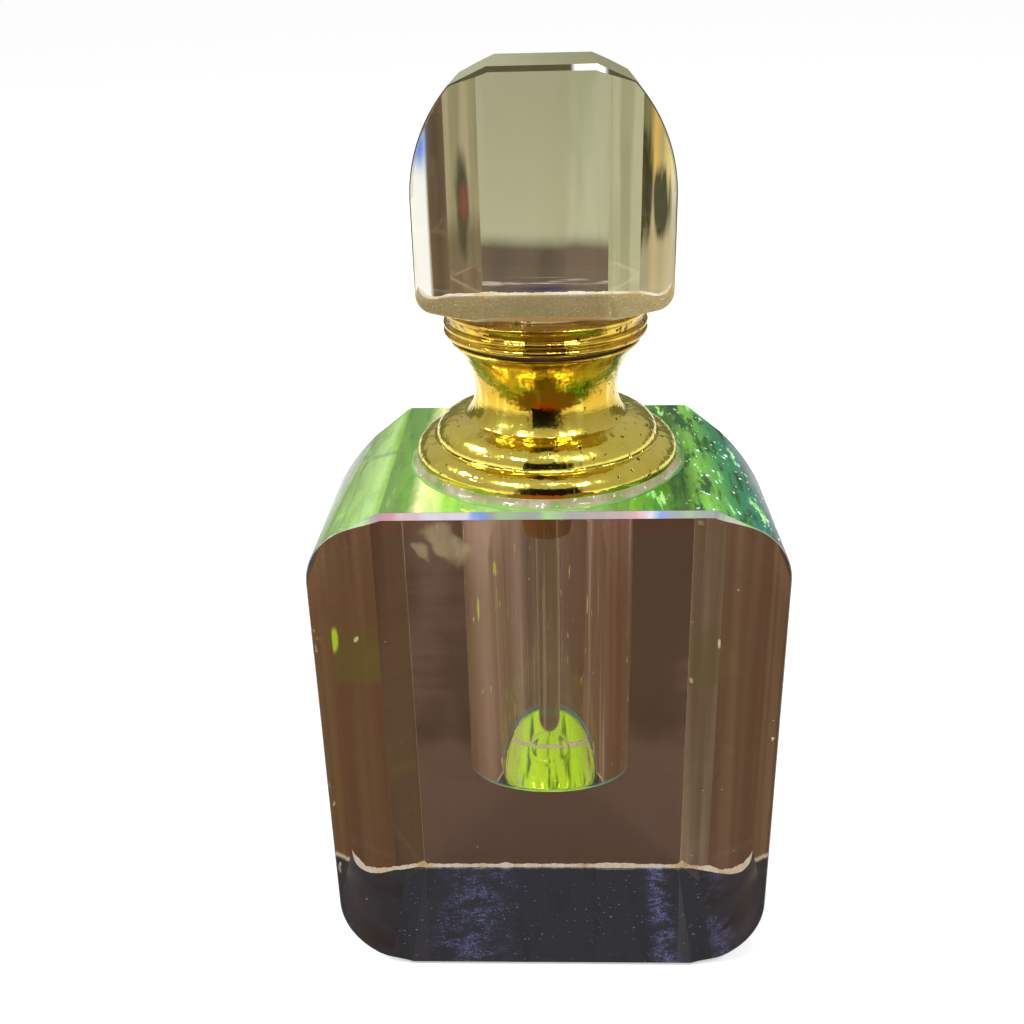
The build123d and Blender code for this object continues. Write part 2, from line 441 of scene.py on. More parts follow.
def smoke_shaded_crystal(name, entering, leaving, stretch, scale, split, pale_foot=0.0, marked=False):
    """Polished crystal painted with shade: it looks smoky from within, for a dark room seen through the
    clear crystal. Light enters by the first share, and leaves by one that wanders between a dark and a light
    share in soft patches, with split the place of the change in the noise, and that grows lighter by
    pale_foot below the bore, painted light. A marked face also has dust specks, a beige scuff near its upper
    left corner and pale nicks along its two sides, painted as glints."""
    tree, across, _, height = measured(name)
    streaks = 0.3 * tree.noise(700, 4.0, (0.07, 0.07, 1.0)) - 0.15
    level = tree.noise(scale, 3.0, stretch) + streaks + pale_foot * tree.spread(height, 22.0, 15.0)
    patches = tree.spread(level, split - 0.14, split + 0.14)
    # The smoky leaving shares are painted shade
    inner = tree.mix(patches, *(passing(*share) for share in leaving))
    colour = tree.mix(tree.leaving(), passing(*entering), inner)
    if not marked:
        return tree.clear(colour)
    # Places along and beside the slanting line of the scuff
    along = 0.73 * across - 0.68 * height + 2.4 * tree.noise(420, 3.0)
    beside = 0.68 * across + 0.73 * height + 2.4 * tree.noise(380, 3.0)
    patch = tree.near(beside, 36.1, 2.3) * tree.near(along, -45.2, 4.2)
    fleck = tree.near(beside, 33.5, 1.1) * tree.near(along, -46.3, 2.2)
    worn = tree.noise(900, 5.0, (1, 1, 0.5), 0.7)
    scuff = tree.spread(patch.larger(0.6 * fleck), 0.1, 0.5) * worn
    dust = tree.spots(1500, 1.0, 0.775, 0.79)
    # Pale nicks along both sides, drawn as painted glints
    edge = tree.near(abs(across), 24.3, 0.7)
    nick_glints = edge * tree.spots(1000, 3.0, 0.64, 0.69, (1, 1, 0.5))
    marks = 0.95 * scuff + 0.8 * dust + 0.55 * nick_glints
    beige, pink = rgb(0.3, 0.23, 0.12), rgb(0.75, 0.6, 0.55)
    return veiled(tree, colour, tree.mix(nick_glints, beige, pink), marks, 0.5, 0.2)


def slanting_face(name, left, right, shares, fineness, patch, glints):
    """A slanting back face, painted with the dark room that it mirrors: upright streaks between a dark and a
    light colour, one pair for each side, in a veil that glows. The veil has a share for each side, which
    grows to nearly all of the face below the shoulder, where it is also matt, so that it mirrors no second
    line. An olive patch of painted light has its strength, its middle and reach along x, the fall of its
    foot along x, and its low and high level. Each painted glint has its side, 1 for the right and -1 for the
    left, its place and reach along y and along z, and its colour. Low down, a navy band of painted shade
    rises a little towards the front, with a cream line of painted highlight along its edge."""
    tree, across, depth, height = measured(name)
    streaks = tree.spots(fineness, 2.0, 0.36, 0.64, (1, 1, 0.05))
    grain = 0.7 + 0.6 * tree.noise(700, 4.0, (0.07, 0.07, 1.0))
    pairs = [tree.mix(streaks * grain, rgb(*dark), rgb(*light)) for dark, light in (left, right)]
    colour = tree.mix(tree.to_right(across), *pairs)
    shoulder = 52.0
    share = tree.spread(across, -2.0, 2.0, *shares)
    share = share + (0.98 - share) * tree.spread(height, shoulder, 40.0)
    level = height + patch["fall"] * (across - patch["middle"])
    olive = tree.spread(abs(across - patch["middle"]), patch["reach"] + 0.15, patch["reach"])
    olive = patch["strength"] * olive * tree.spread(level, patch["low"], patch["low"] + 0.5)
    olive = olive * tree.spread(level, patch["high"], patch["high"] - 5.0)
    colour = tree.mix(olive, colour, rgb(0.17, 0.15, 0.035))
    for side, place, wide, at, tall, tint in glints:
        mark = tree.near(depth, place, wide) * tree.near(height, at, tall) * tree.to_right(side * across)
        mark = tree.spread(mark, 0.1, 0.6)
        colour = tree.mix(mark, colour, rgb(*tint))
        share = share.larger(mark)
    # A navy band of painted shade, rising towards the front, with a cream painted highlight line along its
    # top
    band_level = height + 0.55 * depth + 0.5 * tree.noise(300, 3.0)
    forward = tree.spread(depth, 0.0, -1.5)
    navy, cream = (0.04, 0.042, 0.06), (0.85, 0.72, 0.52)
    colour = tree.layered(colour, (tree.spread(band_level, 8.6, 8.2) * forward, navy),
                          (tree.near(band_level, 8.8, 0.55) * forward, cream))
    matt = tree.spread(height, shoulder, 46.0, 0.05, 0.6)
    return veiled(tree, colour, colour, share, matt, 0.5, outside=0.12)


def crystal_top():
    """The polished top, with the film's green painted in it as a glowing reflection, in bands from side to
    side:
    pale green with a cream band of painted highlight on the left, deeper green and teal on the right, and
    grey green towards both sides. Painted shards of reflected light and dark lie over the bands, strongest
    on the right, with pale painted sparkles there."""
    tree, across, _, height = measured("crystal_top")
    cloud = tree.noise(150, 3.0, (1, 0.5, 1))
    reflection_shards = tree.noise(620, 4.0, (1, 0.22, 0.3), 0.65)
    film_reflection_bands = tree.ramp((across + 1.2 * cloud) / BODY["width"] + 0.5, [
        (0.0, (0.05, 0.07, 0.05)), (0.05, (0.12, 0.16, 0.09)), (0.11, (0.22, 0.33, 0.15)),
        (0.155, (0.36, 0.54, 0.24)), (0.175, (0.12, 0.26, 0.05)), (0.225, (0.14, 0.36, 0.04)),
        (0.25, (0.85, 0.85, 0.4)), (0.285, (0.6, 0.72, 0.25)), (0.305, (0.22, 0.5, 0.06)),
        (0.42, (0.3, 0.56, 0.14)), (0.5, (0.4, 0.52, 0.26)), (0.6, (0.2, 0.46, 0.1)),
        (0.7, (0.05, 0.22, 0.01)), (0.8, (0.03, 0.09, 0.006)), (0.84, (0.16, 0.4, 0.05)),
        (0.9, (0.03, 0.18, 0.07)), (0.95, (0.02, 0.13, 0.11)), (1.0, (0.02, 0.05, 0.045))])
    right = 0.25 + 0.75 * tree.spread(across, 6.0, 14.0)
    glint_flecks = tree.spots(1500, 2.0, 0.66, 0.7, (1, 0.6, 1)) * tree.spread(across, 13.0, 18.0)
    dark_green, lime, ice = (0.008, 0.05, 0.012), (0.45, 0.95, 0.3), (0.7, 1.0, 0.9)
    colour = tree.layered(film_reflection_bands, (tree.spread(reflection_shards, 0.5, 0.4) * right * 0.9, dark_green),
                          (tree.spread(reflection_shards, 0.58, 0.68) * right * 0.8, lime), (glint_flecks, ice))
    share = (0.68 + 0.27 * tree.spread(across, 6.0, 14.0)) * tree.spread(height, 50.0, 54.0)
    return veiled(tree, rgb(1, 1, 1), colour, share, 0.3, 0.3)


def stopper_side_facet():
    """The stopper's outer slanting faces, painted with the reflections that they show, in a veil that glows:
    on the left white light outside and dark brown shade inside, with a blue place high up, on the right
    yellow and orange streaks round two dark patches, with a pale strip outside."""
    tree, across, _, height = measured("stopper_side_facet")
    wander = across + 0.5 * (tree.noise(520, 2.0, (1, 1, 0.06)) - 0.5)
    inner_edge, width = 9.8, 3.2
    left = tree.ramp((-inner_edge - wander) / width, [
        (0.0, (0.16, 0.1, 0.06)), (0.3, (0.09, 0.06, 0.035)), (0.52, (0.13, 0.09, 0.055)),
        (0.56, (0.45, 0.4, 0.3)), (0.62, (0.95, 0.97, 1.0)), (1.0, (1.0, 1.0, 0.95))])
    blue = tree.spread(height + 0.8 * across, 80.5, 85.5) * tree.near(across, -12.2, 1.1)
    left = tree.mix(tree.spread(blue, 0.0, 0.9), left, rgb(0.14, 0.3, 0.85))
    right = tree.ramp((wander - inner_edge) / width, [
        (0.0, (0.16, 0.15, 0.06)), (0.25, (0.2, 0.17, 0.07)), (0.4, (0.7, 0.45, 0.1)),
        (0.6, (0.42, 0.34, 0.14)), (0.8, (0.8, 0.62, 0.25)), (0.9, (0.75, 0.72, 0.55)),
        (1.0, (0.5, 0.48, 0.35))])
    torn = tree.noise(420, 3.0, (2.0, 2.0, 0.3))
    outer = tree.near(wander, 11.7, 1.3) * tree.near(height, 88.5, 6.5) * torn
    inner = tree.near(wander, 10.1, 1.5) * tree.near(height, 89.5, 10.5) * torn
    dark = tree.spread(outer, 0.1, 0.3).larger(tree.spread(inner, 0.1, 0.3))
    right = tree.layered(right, (tree.spread(height, 92.0, 87.0, 0.0, 0.7), (0.42, 0.38, 0.26)),
                         (dark, (0.035, 0.03, 0.012)))
    colour = tree.mix(tree.to_right(across), left, right)
    return veiled(tree, colour, colour, 0.95, 0.05, 0.75, outside=0.1)


def stopper_facet():
    """The stopper's inner slanting faces, painted with the reflections that they show, in a veil that glows:
    on the left beige, browner low down, with a dark red streak, on the right pale olive."""
    tree, across, _, height = measured("stopper_facet")
    streaks = tree.spots(560, 2.0, 0.36, 0.64, (1, 1, 0.05))
    left = tree.mix(streaks, rgb(0.32, 0.28, 0.16), rgb(0.46, 0.4, 0.25))
    brown = tree.mix(streaks, rgb(0.16, 0.11, 0.06), rgb(0.22, 0.15, 0.09))
    left = tree.mix(tree.spread(height, 88.0, 84.0), left, brown)
    torn = tree.noise(420, 3.0, (2.0, 2.0, 0.3))
    dark = tree.near(across, -8.5, 1.2) * tree.near(height, 87.5, 10.0) * torn
    red = tree.near(across, -8.4, 0.9) * tree.near(height, 88.0, 4.0) * torn
    left = tree.layered(left, (tree.spread(dark, 0.1, 0.4), (0.05, 0.032, 0.018)),
                        (tree.spread(red, 0.08, 0.6), (0.26, 0.04, 0.035)))
    right = tree.mix(streaks, rgb(0.42, 0.43, 0.25), rgb(0.56, 0.56, 0.38))
    colour = tree.mix(tree.to_right(across), left, right)
    return veiled(tree, colour, colour, 0.85, 0.05, 0.6, outside=0.1)


def stopper_bevel():
    """The stopper's narrow front bevel, all painted reflection: a dark olive line with a bright glint, beige
    at the foot.
    """
    tree, across, _, height = measured("stopper_bevel")
    dark_olive, white, beige = rgb(0.035, 0.03, 0.014), (1.0, 0.98, 0.9), (0.42, 0.32, 0.17)
    glint = tree.spread(tree.near(across, 4.4, 2.6), 0.2, 0.7)
    colour = tree.layered(dark_olive, (glint, white), (tree.spread(height, 86.0, 80.0), beige))
    return veiled(tree, rgb(0.9, 0.9, 0.8), colour, 0.95, 0.1, 0.3)


def stopper_back():
    """The stopper's back plane, with painted shade in the light that leaves through it: olive grey with soft
    upright streaks, brown towards its foot, with a painted pink glint and a painted navy line along the foot
    itself."""
    tree, across, _, height = measured("stopper_back")
    cloud = tree.noise(160, 3.0, (1, 1, 0.5))
    streaks = tree.noise(300, 3.0, (1, 1, 0.12))
    low = tree.spread(height + 1.6 * cloud, 85.6, 83.4)
    left = tree.spread(across + 6 * cloud, 9.0, 1.0)
    upper = tree.mix(left, passing(0.36, 0.36, 0.2), passing(0.4, 0.38, 0.23))
    upper = tree.mix(tree.spread(streaks, 0.45, 0.8), upper, passing(0.45, 0.45, 0.28))
    lower = tree.mix(tree.spread(streaks, 0.3, 0.7), passing(0.1, 0.075, 0.048), passing(0.15, 0.11, 0.07))
    inner = tree.mix(low, upper, lower)
    glint = tree.near(height, 79.3, 0.6) * tree.spots(520, 4.0, 0.5, 0.75, (0.4, 1, 6))
    inner = tree.mix(glint, inner, passing(0.6, 0.48, 0.4))
    line = tree.near(height, 78.5, 0.4) * tree.near(across, 0.0, 6.0)
    inner = tree.mix(line, inner, passing(0.03, 0.03, 0.09))
    return tree.clear(tree.mix(tree.leaving(), passing(0.9, 0.9, 0.85), inner))


def stopper_top():
    """The stopper's polished top, with a painted reflection that glows: olive grey, clouded, and paler
    towards the left.
    """
    tree, across, _, _ = measured("stopper_top")
    right = tree.spread(across + 5.0 * tree.noise(260, 3.0), -6.0, 8.0)
    colour = tree.mix(right, rgb(0.44, 0.46, 0.3), rgb(0.26, 0.26, 0.15))
    return veiled(tree, passing(0.8, 0.8, 0.66), colour, 0.55, 0.2, 0.3)


def film():
    """Dichroic film on the underside: bright green seen from above through the crystal, navy at a low angle
    and brown at a grazing one, darker in stripes, with pale blue dust in drifts. Seen from within it also
    glows in these colours, painted light for the room that it mirrors."""
    tree, across, _, _ = measured("underside_film")
    facing = tree.facing()
    mirror = tree.ramp(facing, [
        (0.0, (0.75, 0.95, 0.06)), (0.24, (0.5, 0.85, 0.08)), (0.4, (0.08, 0.3, 0.1)),
        (0.5, (0.13, 0.17, 0.3)), (0.62, (0.13, 0.17, 0.3)), (0.7, (0.5, 0.36, 0.28)),
        (1.0, (0.5, 0.36, 0.28))])
    # The glow, seen from within only, is painted light
    glow = tree.ramp(facing, [
        (0.0, (0.62, 0.88, 0.012)), (0.24, (0.4, 0.7, 0.024)), (0.4, (0.03, 0.08, 0.03)),
        (0.5, (0.014, 0.022, 0.036)), (0.62, (0.014, 0.022, 0.036)), (0.7, (0.03, 0.02, 0.016)),
        (1.0, (0.03, 0.02, 0.016))])
    stripes = tree.spots(420, 3.0, 0.5, 0.36, (1, 0.12, 1))
    dark_mirror = tree.ramp(facing, [(0.3, (0.08, 0.35, 0.03)), (0.45, (0.1, 0.14, 0.24))])
    mirror = tree.mix(stripes, mirror, dark_mirror)
    dark_glow = tree.ramp(facing, [(0.3, (0.05, 0.17, 0.01)), (0.45, (0.012, 0.018, 0.03))])
    glow = tree.mix(stripes, glow, dark_glow)
    broken = tree.spots(260, 4.0, 0.4, 0.6, (1, 1, 1), 0.6)
    drifts = 0.85 * tree.near(across, -10.0, 8.0) + 1.3 * tree.near(across, 13.9, 2.6)
    drifts = drifts * (0.15 + 0.85 * broken)
    cloud = tree.spots(1300, 6.0, 0.4, 0.62, (1, 1, 1), 0.78)
    specks = tree.spots(5200, 3.0, 0.48, 0.62)
    lone_specks = tree.spots(1900, 1.0, 0.72, 0.75)
    dust = tree.spread(drifts * cloud * (0.25 + specks) + lone_specks, 0.0, 1.0)
    glow = tree.within(tree.mix(dust, glow, rgb(0.16, 0.19, 0.46)))
    colour = tree.mix(dust, mirror, rgb(0.4, 0.48, 0.95))
    return tree.surface(Base_Color=colour, Metallic=0.9, Roughness=0.06, Emission_Color=glow,
                        Emission_Strength=1.0)


def painted_foot_shade(name, deep, pale):
    """Painted navy shade where the foot is rounded, in the film's colours: darker in places, with a drift of
    blue dust, and glowing when seen from within, painted light.
    """
    tree, across, _, _ = measured(name)
    colour = tree.mix(tree.spots(150, 3.0, 0.35, 0.65, (1, 1, 0.3)), rgb(*deep), rgb(*pale))
    broken = tree.spots(260, 4.0, 0.42, 0.6, (1, 1, 1), 0.6)
    cloud = tree.spots(2600, 6.0, 0.42, 0.62, (1, 1, 1), 0.8)
    dust = tree.near(across, 20.6, 2.2) * broken * cloud
    colour = tree.mix(dust, colour, rgb(0.22, 0.26, 0.62))
    return tree.surface(Base_Color=colour, Roughness=0.3, Specular_IOR_Level=DULL,
                        Emission_Color=tree.within(colour), Emission_Strength=0.4)


def glued_gold():
    """The top under the flange, seen from within: clear glue on gilt metal."""
    tree = new_tree("glued_gold")
    colour = tree.mix(tree.noise(500, 3.0), rgb(0.9, 0.82, 0.4), rgb(0.7, 0.6, 0.25))
    return tree.surface(Base_Color=colour, Metallic=0.85, Roughness=0.2)


def ground_edge(name):
    """A ground chamfer with chips: cream, with orange and white places, which glow when seen from within:
    painted light.
    """
    tree = new_tree(name)
    colour = tree.ramp(tree.noise(380, 4.0), [
        (0.25, (0.55, 0.3, 0.12)), (0.42, (0.85, 0.68, 0.45)), (0.55, (0.9, 0.84, 0.72)),
        (0.75, (1.0, 0.97, 0.92))])
    grit = tree.noise(5200, 3.0)
    return tree.surface(Base_Color=colour, Roughness=0.6, Normal=tree.bump(grit, 0.5, 0.08 * MM),
                        Emission_Color=tree.within(colour), Emission_Strength=0.6)


def bevel_glint():
    """The polished front bevel, with painted glints of split light: pale grey with pink, blue and green
    places, and dark low down, painted shade."""
    tree, across, _, height = measured("bevel_glint")
    wander = across * 0.03 + tree.noise(140, 3.0, (1, 0.2, 0.2))
    colour = tree.ramp((wander * 1.7).fraction(), [
        (0.0, (0.22, 0.2, 0.2)), (0.2, (0.45, 0.2, 0.24)), (0.36, (0.45, 0.45, 0.5)),
        (0.52, (0.12, 0.2, 0.5)), (0.66, (0.2, 0.21, 0.2)), (0.82, (0.24, 0.4, 0.14)),
        (1.0, (0.22, 0.2, 0.2))])
    colour = tree.mix(tree.spread(height, 40.0, 20.0), colour, rgb(0.03, 0.022, 0.02))
    return tree.surface(Base_Color=colour, Roughness=0.25)


def polished_gold():
    """Polished gold plate: faint turning lines, soft dents and upright ripples, pits that gather on the
    right, tan tarnish that gathers towards the lip, orange and lime painted reflections in upright runs on
    the waist, a browner cap ring and a red brown line of painted shadow along the flange's lower edge."""
    tree, across, _, height = measured("polished_gold")
    gather = tree.spread(across, 0.0, 12.0)
    pits = tree.spread(tree.noise(1300, 3.0) + 0.06 * gather, 0.68, 0.75)
    colour = tree.mix(tree.noise(90, 4.0), rgb(0.86, 0.66, 0.09), rgb(0.74, 0.64, 0.12))
    high = tree.spread(height, 70.0, 73.5)
    tarnish = tree.spread(tree.noise(330, 4.0) + 0.08 * high, 0.42, 0.66) * (0.15 + 0.7 * high)
    # The orange and lime runs on the waist are painted reflections
    waist = tree.near(height, 69.6, 4.8)
    runs = tree.noise(430, 3.0, (1.0, 1.0, 0.1))
    # The red brown line low on the flange, foot, is painted shadow along its lower edge
    cap, foot = tree.spread(height, 74.4, 74.9, 0.0, 0.55), tree.spread(height, 61.32, 61.05)
    tan, orange, lime = (0.34, 0.17, 0.02), (0.52, 0.3, 0.012), (0.56, 0.6, 0.03)
    brown, shade_red_brown, dark = (0.5, 0.3, 0.03), (0.3, 0.1, 0.03), (0.09, 0.06, 0.02)
    colour = tree.layered(colour, (tarnish, tan), (waist * tree.spread(runs, 0.4, 0.52) * 0.9, orange),
                          (waist * tree.spread(runs, 0.44, 0.34) * 0.7, lime), (cap, brown),
                          (foot, shade_red_brown), (pits, dark))
    lines = tree.noise(2600, 2.0, (0.02, 0.02, 1.0))
    dents = tree.noise(330, 3.0)
    ripples = tree.noise(620, 2.0, (1.0, 1.0, 0.15))
    rough = tree.spread(tree.noise(300, 4.0), 0.3, 0.8, 0.1, 0.24)
    relief = 0.08 * lines + dents + 0.5 * ripples - 0.5 * pits
    return tree.surface(Base_Color=colour, Metallic=1.0, Roughness=rough,
                        Normal=tree.bump(relief, 0.4, 0.5 * MM))


def clear_glue():
    """Cured clear glue that has caught dust: pale along the flange, with white specks, and green with light
    from the crystal where it thins out."""
    tree, across, depth, _ = measured("clear_glue")
    radius = (across * across + depth * depth) ** 0.5
    colour = tree.ramp(tree.noise(420, 4.0), [
        (0.34, (0.2, 0.32, 0.09)), (0.5, (0.38, 0.34, 0.18)), (0.64, (0.5, 0.45, 0.34))])
    specks = tree.spots(1800, 2.0, 0.65, 0.71)
    colour = tree.mix(specks, colour, rgb(0.95, 0.92, 0.85))
    green = tree.mix(tree.spread(across, 3.0, 12.0), rgb(0.24, 0.5, 0.13), rgb(0.07, 0.28, 0.05))
    thin = tree.spread(radius + 0.5 * tree.noise(300, 3.0), 15.0, 15.3)
    return veiled(tree, passing(0.85, 0.95, 0.7), tree.mix(thin, colour, green), 0.6, 0.25, 0.3)


def speckled_glue():
    """The stopper's foot as seen from within: beige gold glue with bright bubbles and dark dust, which glows
    in its own colour, painted light.
    """
    tree = new_tree("speckled_glue")
    colour = tree.mix(tree.noise(260, 3.0), rgb(0.36, 0.26, 0.1), rgb(0.55, 0.43, 0.2))
    bubbles, dust = tree.spots(3400, 2.0, 0.62, 0.68), tree.spots(1900, 2.0, 0.36, 0.3)
    colour = tree.layered(colour, (bubbles, (1.0, 0.98, 0.9)), (dust, (0.2, 0.13, 0.05)))
    return tree.surface(Base_Color=colour, Metallic=0.35, Roughness=0.3, Emission_Color=colour,
                        Emission_Strength=0.35)


def rod_glass():
    """Fire polished glass with a painted sheen, brown and glowing, that gathers towards its edges in upright
    runs.
    """
    tree = new_tree("rod_glass")
    streaks = tree.spots(700, 2.0, 0.4, 0.7, (1, 1, 0.02))
    share = 0.08 + tree.spread(tree.facing(), 0.45, 0.9) * (0.4 + 0.4 * streaks)
    return veiled(tree, passing(0.86, 0.83, 0.72), rgb(0.55, 0.46, 0.33), share, 0.2, 0.4)


def bore_wall():
    """The drilled and polished bore, in a veil that glows, painted light: thin upright runs of dried scent
    oil, a pale pink band of painted light on the left, thin pink painted lines, a red brown band of painted
    shade on the right, fine yellow green painted glints and a blue green light in the rounded edge of its
    floor."""
    tree, across, _, height = measured("bore_wall")
    runs = tree.spots(420, 4.0, 0.45, 0.85, (1, 1, 0.03))
    rim = tree.near(height, 23.25, 0.4)
    # The pink band on the left is painted light, the red brown one on the right painted shade
    left = tree.near(across, -7.0, 2.4)
    right = tree.spread(across, 3.0, 8.0)
    lines = tree.spots(1500, 2.0, 0.62, 0.7, (1, 1, 0.012))
    glint_flecks = tree.spots(1500, 2.0, 0.7, 0.73, (1, 1, 0.12))
    low = 0.2 + 0.8 * tree.spread(height, 23.5, 32.0)
    share = low * (0.06 + 0.16 * runs + 0.2 * lines) + 0.07 * tree.spread(across, 0.0, -8.0)
    share = share + 0.22 * left + 0.3 * right + 0.4 * rim + 0.6 * glint_flecks
    tone = tree.mix(right, rgb(0.5, 0.35, 0.25), rgb(0.2, 0.08, 0.045))
    pink, yellow_green, blue_green = (0.72, 0.52, 0.42), (0.6, 0.62, 0.12), (0.1, 0.45, 0.5)
    tone = tree.layered(tone, (left.larger(lines), pink), (glint_flecks, yellow_green), (rim, blue_green))
    return veiled(tree, rgb(1, 1, 1), tone, share, 0.4, 0.6, BORE_IOR)


def moulded_plastic(name, pale, deep, roughness):
    """Moulded polyethylene: waxy, with soft clouds and a fine grain."""
    tree = new_tree(name)
    cloud = tree.noise(240, 4.0)
    grain = tree.noise(4200, 2.0)
    return tree.surface(Base_Color=tree.mix(cloud, rgb(*pale), rgb(*deep)),
                        Roughness=tree.spread(cloud, 0.2, 0.8, roughness - 0.08, roughness + 0.08),
                        Normal=tree.bump(grain, 0.2, 0.1 * MM))


# Cut blocks

def block_outline(block):
    """Front outline of a block as x, z and the name of each run, from the middle of the top to the right
    and round: a level crown, a facet that falls at the slope, an arc to the side, and the same again to the
    foot. It has a point wherever a crease of the plan crosses it. The last number of each run is its
    steps."""
    half, top, base = block["width"] / 2, block["base"] + block["height"], block["base"]
    creases = np.array([block["back"], block["crease"]]) / 2
    shoulder_slope = math.tan(math.radians(block["slope"]))
    foot_slope = math.tan(math.radians(block["foot_slope"]))
    centre = half - block["radius"]
    start = centre + block["radius"] * math.cos(math.radians(block["turn"]))
    fall = (start - block["crown"] / 2) * shoulder_slope
    arc_level = top - fall - block["radius"] * math.sin(math.radians(block["turn"]))
    foot_centre = half - block["foot_radius"]
    foot_end = foot_centre + block["foot_radius"] * math.sin(math.radians(block["foot_slope"]))
    rise = (foot_end - block["foot"] / 2) * foot_slope
    foot_level = base + rise + block["foot_radius"] * math.cos(math.radians(block["foot_slope"]))

    def stops(steps, extra):
        """Shares along a run, without its start: even steps, and those where creases cross it."""
        extra = extra[(extra > 1e-6) & (extra < 1 - 1e-6)]
        return np.unique(np.concatenate([np.linspace(0, 1, steps + 1), extra]).round(9))[1:, None]

    def line(x0, z0, x1, z1, steps):
        """Straight run: its start plus each share of the way to its end."""
        extra = (creases - x0) / (x1 - x0) if abs(x1 - x0) > 1e-9 else creases[:0]
        share = stops(steps, extra)
        return np.concatenate([x0 + (x1 - x0) * share, z0 + (z1 - z0) * share], axis=1)

    def arc(middle, level, radius, first, last, steps):
        """Arc: its centre plus the radius times the cosine and sine of each angle, in degrees."""
        reach = (creases - middle) / radius
        angle = np.degrees(np.arccos(np.clip(reach, -1, 1))) * (1 if first > 0 else -1)
        share = stops(steps, (angle[np.abs(reach) < 1] - first) / (last - first))
        angle = np.radians(first + (last - first) * share)
        return np.concatenate([middle + radius * np.cos(angle), level + radius * np.sin(angle)], axis=1)

    runs = [
        ("crown", line(0, top, block["crown"] / 2, top, 10)),
        ("shoulder", line(block["crown"] / 2, top, start, top - fall, 8)),
        ("arc", arc(centre, arc_level, block["radius"], block["turn"], 0, 40)),
        ("side", line(half, arc_level, half, foot_level, 6)),
        ("foot_arc", arc(foot_centre, foot_level, block["foot_radius"], 0, block["foot_slope"] - 90, 40)),
        ("foot", line(foot_end, base + rise, block["foot"] / 2, base, 12)),
        ("base", line(block["foot"] / 2, base, 0, base, 64)),
    ]
    right = np.concatenate([points for _, points in runs])
    names = [name for name, points in runs for _ in points]
    outline = np.concatenate([[[0.0, top]], right, right[-2::-1] * [-1, 1]])
    return outline, names + names[::-1]


def ground_width(block, outline, names):
    """Width of the ground chamfer at each outline point: full along the foot, none from the side upwards,
    with a slow wander and a few chips, each a bell curve over the distance along x."""
    across, level = outline[:, 0], outline[:, 1]
    side_low = min(level[i] for i, name in enumerate(names) if name == "side")
    share = np.clip((side_low - level) / (0.25 * (side_low - block["base"])), 0, 1)
    wander = waves(across, [(0.12, 1.9, 0.7), (0.1, 5.3, 0.0), (0.07, 11.9, 2.0)])
    chips = sum(size * np.exp(-((across - place) / reach) ** 2) for place, size, reach in block["chips"])
    return block["ground"] * share * (1 + wander + chips)


def block_rings(block, outline, ground):
    """The four rings of a block, each a copy of the outline: the front's edge, set in by the bevel, the
    bevel's outer edge, the side's back edge, and the back's edge, set in by the ground chamfer. The
    slanting facets' depth falls in straight lines from the back's edge to the side, and the bevel narrows
    towards the side in a smooth step. The rings are set in along the outline's miters."""
    following = np.roll(outline, -1, axis=0) - outline
    following = following / np.linalg.norm(following, axis=1)[:, None]
    outwards = np.stack([-following[:, 1], following[:, 0]], axis=1)
    before = np.roll(outwards, 1, axis=0)
    miter = (outwards + before) / (1 + np.sum(outwards * before, axis=1))[:, None]
    side = np.abs(outline[:, 0])
    start, wide = block["crown"] / 2, side.max()
    share = np.clip((side - start) / (0.5 * (wide - start)), 0, 1)
    bevel = block["bevel"] + (SIDE_BEVEL - block["bevel"]) * share * share * (3 - 2 * share)
    inset = outline - miter * bevel[:, None]
    inner = outline - miter * ground[:, None]
    front, back = -block["depth"] / 2, block["depth"] / 2 - BACK_INSET
    places = block["back"] / 2, block["crease"] / 2, wide
    depths = back, back - block["back_facet"], back - block["side_facet"]
    return [np.stack([inset[:, 0], np.full(len(outline), front), inset[:, 1]], axis=1),
            np.stack([outline[:, 0], bevel + front, outline[:, 1]], axis=1),
            np.stack([outline[:, 0], np.interp(side, places, depths) - ground, outline[:, 1]], axis=1),
            np.stack([inner[:, 0], np.interp(np.abs(inner[:, 0]), places, depths), inner[:, 1]], axis=1)]


def bore_profile(top):
    """The glued ring on the top, the bore's wall, the rounded corner of its floor, and the floor with the
    drill's ring, whose height is a bell curve over the radius."""
    corner = BORE_RADIUS - FLOOR_ROUNDING, BORE_FLOOR + FLOOR_ROUNDING
    radii = np.linspace(BORE_RADIUS - 1.0, 0.4, 40)
    floor = BORE_FLOOR + RING_HEIGHT * np.exp(-((radii - RING_RADIUS) / RING_REACH) ** 2)
    return np.concatenate([
        [[FLANGE_RADIUS, top], [BORE_RADIUS, top]],
        [[BORE_RADIUS, height] for height in np.linspace(top, corner[1], 24)[1:]],
        ellipse(corner, FLOOR_ROUNDING, FLOOR_ROUNDING, 0, -90, 7)[1:],
        np.stack([radii, floor], axis=1),
    ])


